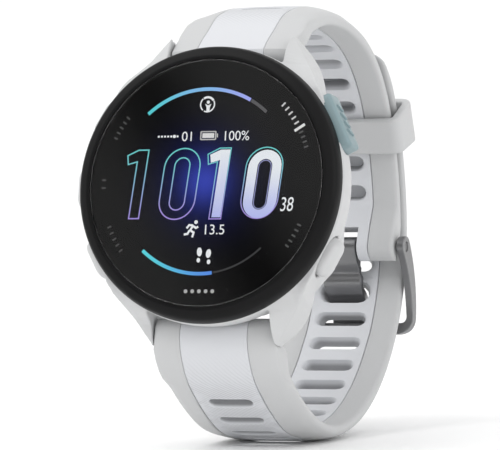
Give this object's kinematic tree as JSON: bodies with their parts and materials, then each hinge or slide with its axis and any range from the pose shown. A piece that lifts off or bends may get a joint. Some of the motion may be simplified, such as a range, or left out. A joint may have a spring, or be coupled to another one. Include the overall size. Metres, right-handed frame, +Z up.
{
  "type": "gps running watch",
  "caption": "Round wrist watch for runners on a buckled two-tone silicone strap, with side buttons, a glass display face and a rear heart-rate sensor.",
  "frame": {"origin": "on the table under the middle of the box round the watch, which stands on the lowest point of its strap loop", "axes": "+X towards the three o'clock side, -Y out of the dial, +Z up; the dial leans back 12 degrees from upright"},
  "size_m": [0.0452, 0.0682, 0.0685],
  "materials": {
    "housing": "fine satin fibre-reinforced polymer, cool light grey",
    "cover": "moulded polymer, light grey",
    "bezel": "satin charcoal black",
    "lens": "polished chemically strengthened glass",
    "display": "glossy display panel",
    "adhesive": "black adhesive",
    "frame_plastic": "moulded inner parts",
    "board": "circuit board",
    "seal_rubber": "moulded seals",
    "window": "dark sensor window",
    "contacts": "gold-plated contacts",
    "steel": "stainless steel",
    "start_teal": "satin grey-teal",
    "button_grey": "satin light grey",
    "silicone_white": "matte silicone, cool near-white",
    "silicone_grey": "matte silicone, light grey",
    "gunmetal": "brushed dark gunmetal"
  },
  "bodies": {
    "case": {"mid_case": "housing", "bezel_ring": "bezel", "lens_glass": "lens", "lens_adhesive": "adhesive", "display_panel": "display", "inner_frame": "frame_plastic", "gnss_antenna": "frame_plastic", "main_board": "board", "battery": "frame_plastic", "vibration_motor": "frame_plastic", "piezo_buzzer": "frame_plastic", "sensor_board": "board", "rear_cover_gasket": "seal_rubber", "button_switches": "frame_plastic", "sensor_window": "window", "rear_cover": "cover", "rear_cover_screws": "steel", "charging_contacts": "contacts"},
    "start_button": {"start_button": "start_teal", "start_button_seal": "seal_rubber", "start_button_clip": "steel"},
    "back_button": {"back_button": "button_grey", "back_button_seal": "seal_rubber", "back_button_clip": "steel"},
    "light_button": {"light_button": "button_grey", "light_button_seal": "seal_rubber", "light_button_clip": "steel"},
    "up_button": {"up_button": "button_grey", "up_button_seal": "seal_rubber", "up_button_clip": "steel"},
    "down_button": {"down_button": "button_grey", "down_button_seal": "seal_rubber", "down_button_clip": "steel"},
    "upper_strap": {"upper_strap_core": "silicone_white", "upper_strap_edge_left": "silicone_grey", "upper_strap_edge_right": "silicone_grey", "upper_spring_bar": "steel", "buckle_pin": "steel"},
    "lower_strap": {"lower_strap_core": "silicone_white", "lower_strap_edge_left": "silicone_grey", "lower_strap_edge_right": "silicone_grey", "lower_spring_bar": "steel"},
    "upper_release_lever": {"upper_release_lever": "steel"},
    "lower_release_lever": {"lower_release_lever": "steel"},
    "strap_keeper": {"strap_keeper": "silicone_grey"},
    "buckle_frame": {"buckle_frame": "gunmetal"},
    "buckle_tongue": {"buckle_tongue": "gunmetal"}
  },
  "joints": [
    {"name": "start_button_press", "type": "slide", "parent": "case", "child": "start_button", "axis": [-0.8926, -0.0937, -0.441], "range_m": [0, 0.0005], "stiffness_N_per_m": 400, "springref_m": -0.0005},
    {"name": "back_button_press", "type": "slide", "parent": "case", "child": "back_button", "axis": [-0.866, 0.104, 0.4891], "range_m": [0, 0.0005], "stiffness_N_per_m": 400, "springref_m": -0.0005},
    {"name": "light_button_press", "type": "slide", "parent": "case", "child": "light_button", "axis": [0.866, -0.104, -0.4891], "range_m": [0, 0.0005], "stiffness_N_per_m": 400, "springref_m": -0.0005},
    {"name": "up_button_press", "type": "slide", "parent": "case", "child": "up_button", "axis": [1, 0, 0], "range_m": [0, 0.0005], "stiffness_N_per_m": 400, "springref_m": -0.0005},
    {"name": "down_button_press", "type": "slide", "parent": "case", "child": "down_button", "axis": [0.866, 0.104, 0.4891], "range_m": [0, 0.0005], "stiffness_N_per_m": 400, "springref_m": -0.0005},
    {"name": "upper_strap_pivot", "type": "hinge", "parent": "case", "child": "upper_strap", "pos_m": [0.00043, -0.0167, 0.06173], "axis": [1, 0, 0], "range_deg": [-1.5, 1.5], "stiffness_Nm_per_rad": 3},
    {"name": "lower_strap_pivot", "type": "hinge", "parent": "case", "child": "lower_strap", "pos_m": [0.00043, -0.02581, 0.01888], "axis": [1, 0, 0], "range_deg": [-1.5, 1.5], "stiffness_Nm_per_rad": 3, "deforming": ["lower_strap_core", "lower_strap_edge_left", "lower_strap_edge_right"]},
    {"name": "upper_lever_slide", "type": "slide", "parent": "upper_strap", "child": "upper_release_lever", "axis": [-1, 0, 0], "range_m": [0, 0.0012], "stiffness_N_per_m": 300, "springref_m": -0.0005},
    {"name": "lower_lever_slide", "type": "slide", "parent": "lower_strap", "child": "lower_release_lever", "axis": [-1, 0, 0], "range_m": [0, 0.0012], "stiffness_N_per_m": 300, "springref_m": -0.0005},
    {"name": "keeper_slide", "type": "hinge", "parent": "upper_strap", "child": "strap_keeper", "pos_m": [0.00043, -0.01226, 0.03453], "axis": [1, 0, 0], "range_deg": [-10, 1.5]},
    {"name": "buckle_frame_pivot", "type": "hinge", "parent": "upper_strap", "child": "buckle_frame", "pos_m": [0.00043, 0.02749, 0.02964], "axis": [1, 0, 0], "range_deg": [0, 3]},
    {"name": "tongue_pivot", "type": "hinge", "parent": "buckle_frame", "child": "buckle_tongue", "pos_m": [0.00043, 0.02749, 0.02964], "axis": [1, 0, 0], "range_deg": [0, 3]}
  ],
  "couplings": [
    {"joint": "lower_strap_pivot", "follows": "upper_strap_pivot", "ratio": 1}
  ]
}
